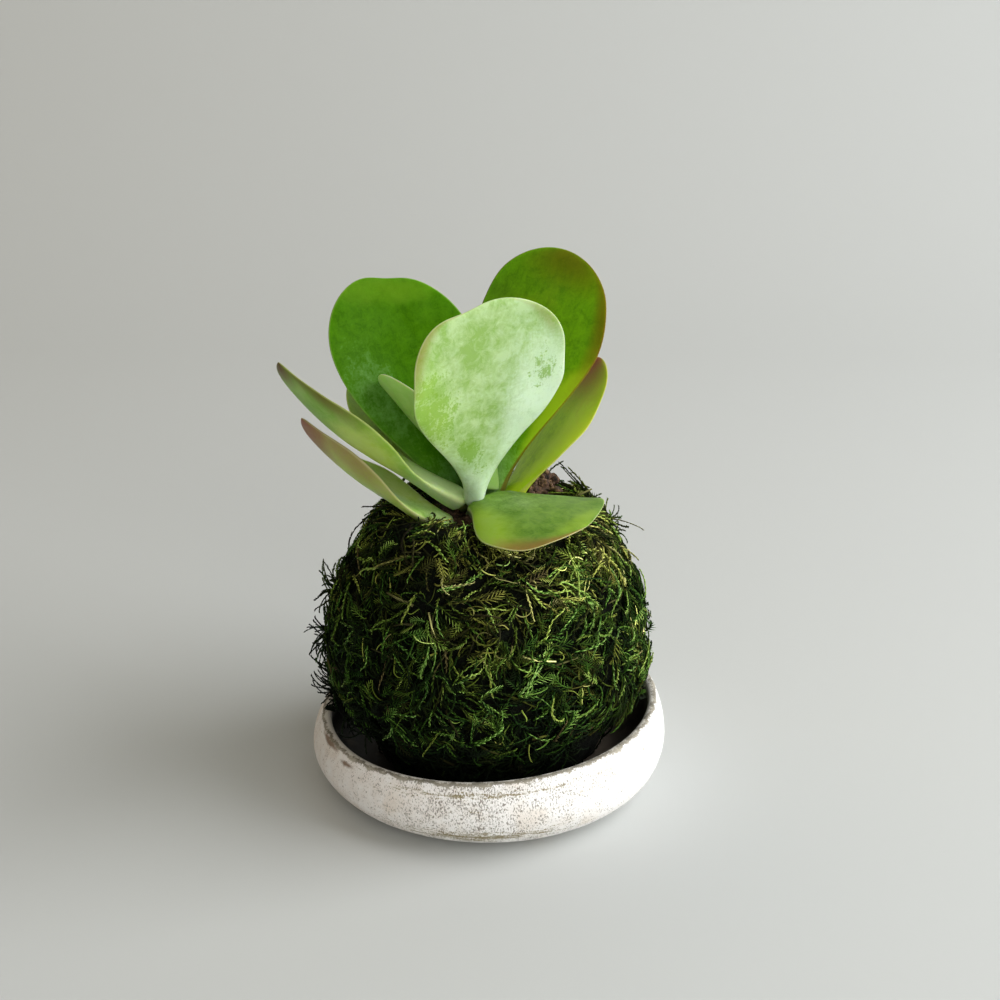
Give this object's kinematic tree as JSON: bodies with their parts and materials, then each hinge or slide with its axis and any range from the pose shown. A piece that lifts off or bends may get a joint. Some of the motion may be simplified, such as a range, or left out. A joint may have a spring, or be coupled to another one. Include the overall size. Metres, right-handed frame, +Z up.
{
  "type": "kokedama moss ball plant",
  "caption": "Paddle-leaved succulent growing from a moss-wrapped soil ball that rests in a shallow whitewashed saucer.",
  "frame": {"origin": "middle of the saucer's flat foot, on the surface it stands on", "axes": "+Z up; -Y is the front, towards the large pale leaf; +X to the viewer's right"},
  "size_m": [0.1354, 0.13, 0.1923],
  "materials": {
    "whitewashed_terracotta": "chalky whitewash over unglazed clay",
    "sheet_moss": "feathery living moss",
    "potting_soil": "crumbly moist potting soil",
    "stem": "smooth fleshy stem",
    "glaucous_leaf": "waxy bloomed succulent leaf",
    "green_leaf": "satin succulent leaf",
    "olive_leaf": "satin succulent leaf with a red-brown margin",
    "blushed_leaf": "waxy succulent leaf with a pink-brown tip"
  },
  "bodies": {
    "root": {"saucer": "whitewashed_terracotta", "moss_cover": "sheet_moss", "root_ball": "potting_soil", "stem": "stem", "front_leaf": "glaucous_leaf", "back_right_leaf": "olive_leaf", "back_left_leaf": "green_leaf", "left_upper_leaf": "olive_leaf", "right_front_leaf": "glaucous_leaf", "right_low_leaf": "olive_leaf", "left_lower_leaf": "blushed_leaf", "inner_left_leaf": "glaucous_leaf", "inner_right_leaf": "glaucous_leaf", "back_low_leaf": "green_leaf"}
  },
  "joints": []
}
